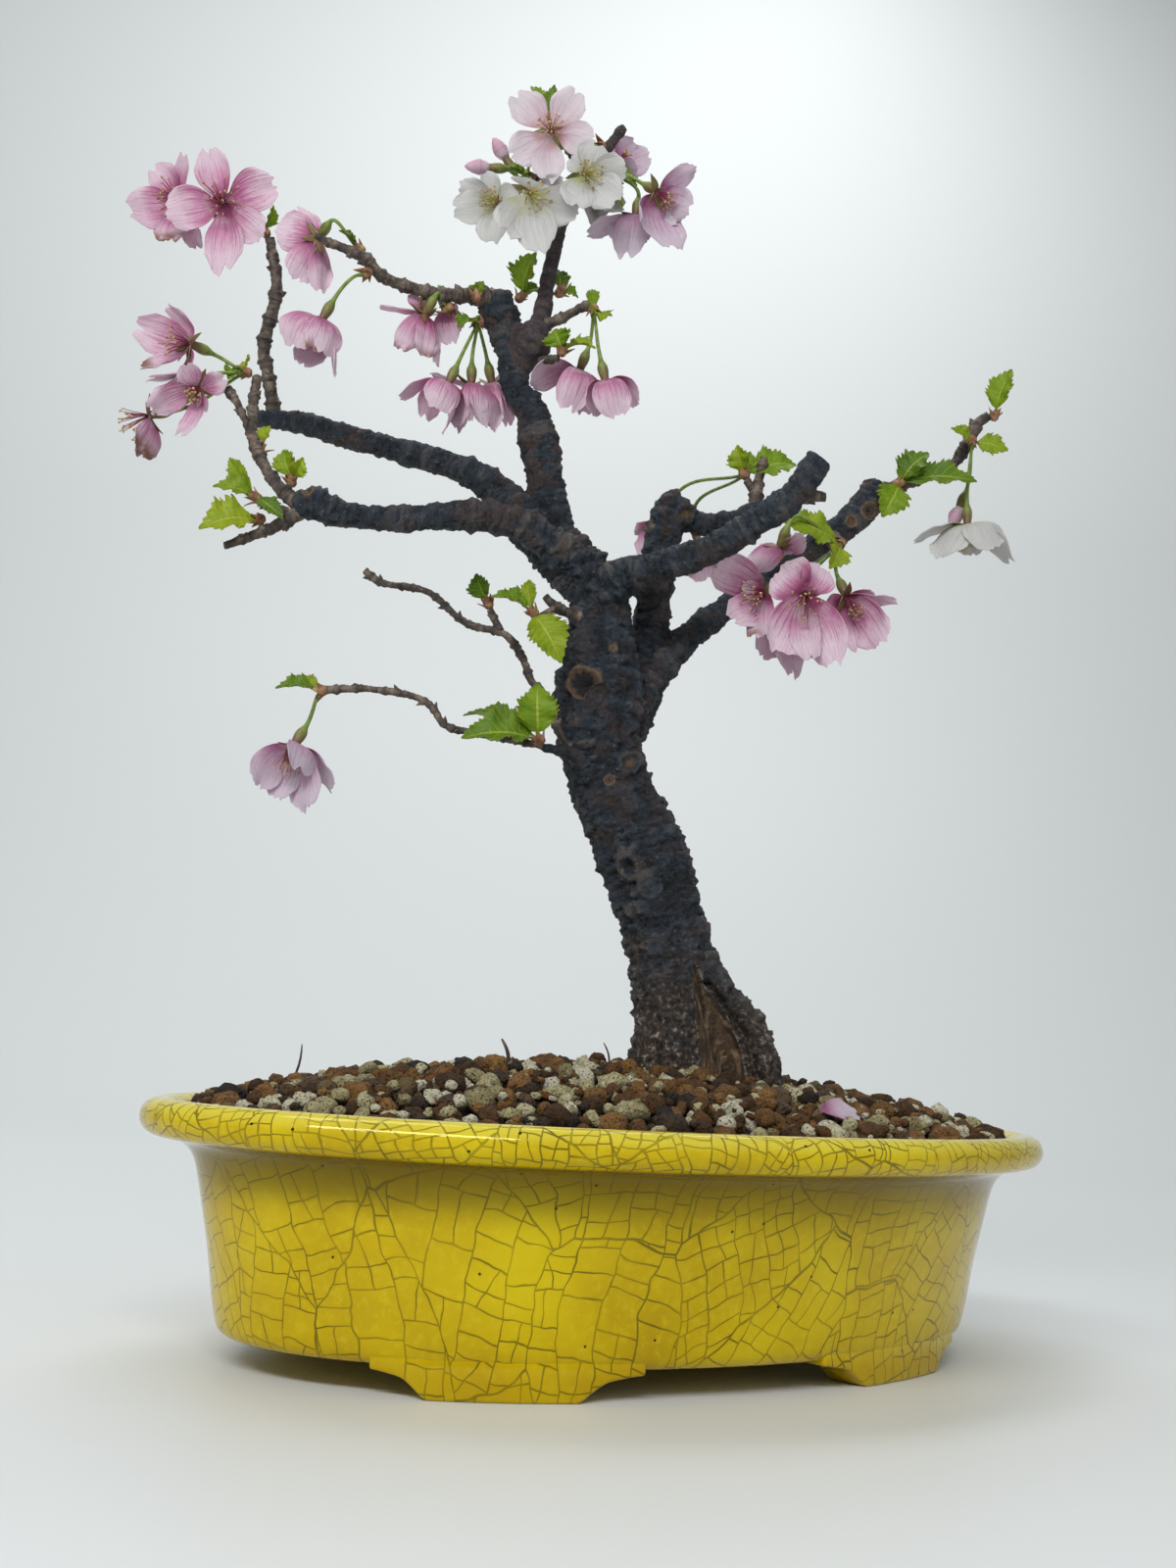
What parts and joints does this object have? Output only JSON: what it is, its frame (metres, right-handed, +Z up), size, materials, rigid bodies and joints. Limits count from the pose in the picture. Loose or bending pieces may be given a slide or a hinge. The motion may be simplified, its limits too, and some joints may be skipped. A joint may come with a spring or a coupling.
{
  "type": "flowering cherry bonsai",
  "caption": "Small trained cherry tree in blossom with young leaves, rooted in a gritty mound in an oval crackle-glazed pot that stands on short feet.",
  "frame": {"origin": "bottom centre of the whole object's bounding box, on the plane of the pot's feet", "axes": "+X along the pot's long axis towards its right end, +Z up, -Y the tree's front side"},
  "size_m": [0.3015, 0.1941, 0.4095],
  "materials": {
    "glaze": "glossy yellow crackle glaze",
    "plastic": "matte",
    "grit": "rough, porous",
    "bark": "rough bark",
    "leaf": "satin leaf",
    "petal_pink": "soft petal",
    "petal_white": "soft petal"
  },
  "bodies": {
    "root": {"pot": "glaze", "drain_screen_left": "plastic", "drain_screen_right": "plastic", "soil": "grit", "wood": "bark", "fallen_petal": "petal_pink", "spur_a": "leaf", "spur_b": "leaf", "spur_c": "leaf", "spur_cLow": "leaf", "spur_d": "leaf", "spur_e": "leaf", "spur_f": "leaf", "spur_g": "leaf", "spur_h": "leaf", "spur_i": "leaf", "spur_j": "leaf", "spur_k": "leaf", "spur_l": "leaf", "spur_m": "leaf", "spur_n": "leaf", "spur_o": "leaf", "spur_p": "leaf", "spur_q": "leaf", "spur_r": "leaf", "spur_s": "leaf", "spur_t": "leaf", "spur_u": "leaf", "spur_v": "leaf", "spur_z": "leaf", "spur_y": "leaf", "spur_x": "leaf", "bloom_a1": "petal_pink", "bloom_a2": "petal_pink", "bloom_a3": "petal_pink", "bloom_a4": "petal_pink", "bloom_b1": "petal_pink", "bloom_b2": "petal_pink", "bloom_b3": "petal_pink", "bloom_c1": "petal_pink", "bloom_c2": "petal_pink", "bloom_d": "petal_pink", "bloom_e1": "petal_pink", "bloom_e2": "petal_pink", "bloom_f1": "petal_white", "bloom_f2": "petal_white", "bloom_f3": "petal_white", "bloom_f4": "petal_white", "bloom_f5": "petal_white", "bloom_f6": "petal_pink", "bloom_f7": "petal_pink", "bloom_f8": "petal_pink", "bloom_g1": "petal_pink", "bloom_g3": "petal_pink", "bloom_g6": "petal_pink", "bloom_g4": "petal_pink", "bloom_g5": "petal_pink", "bloom_g7": "petal_pink", "bloom_h1": "petal_white", "bloom_i1": "petal_pink"}
  },
  "joints": []
}
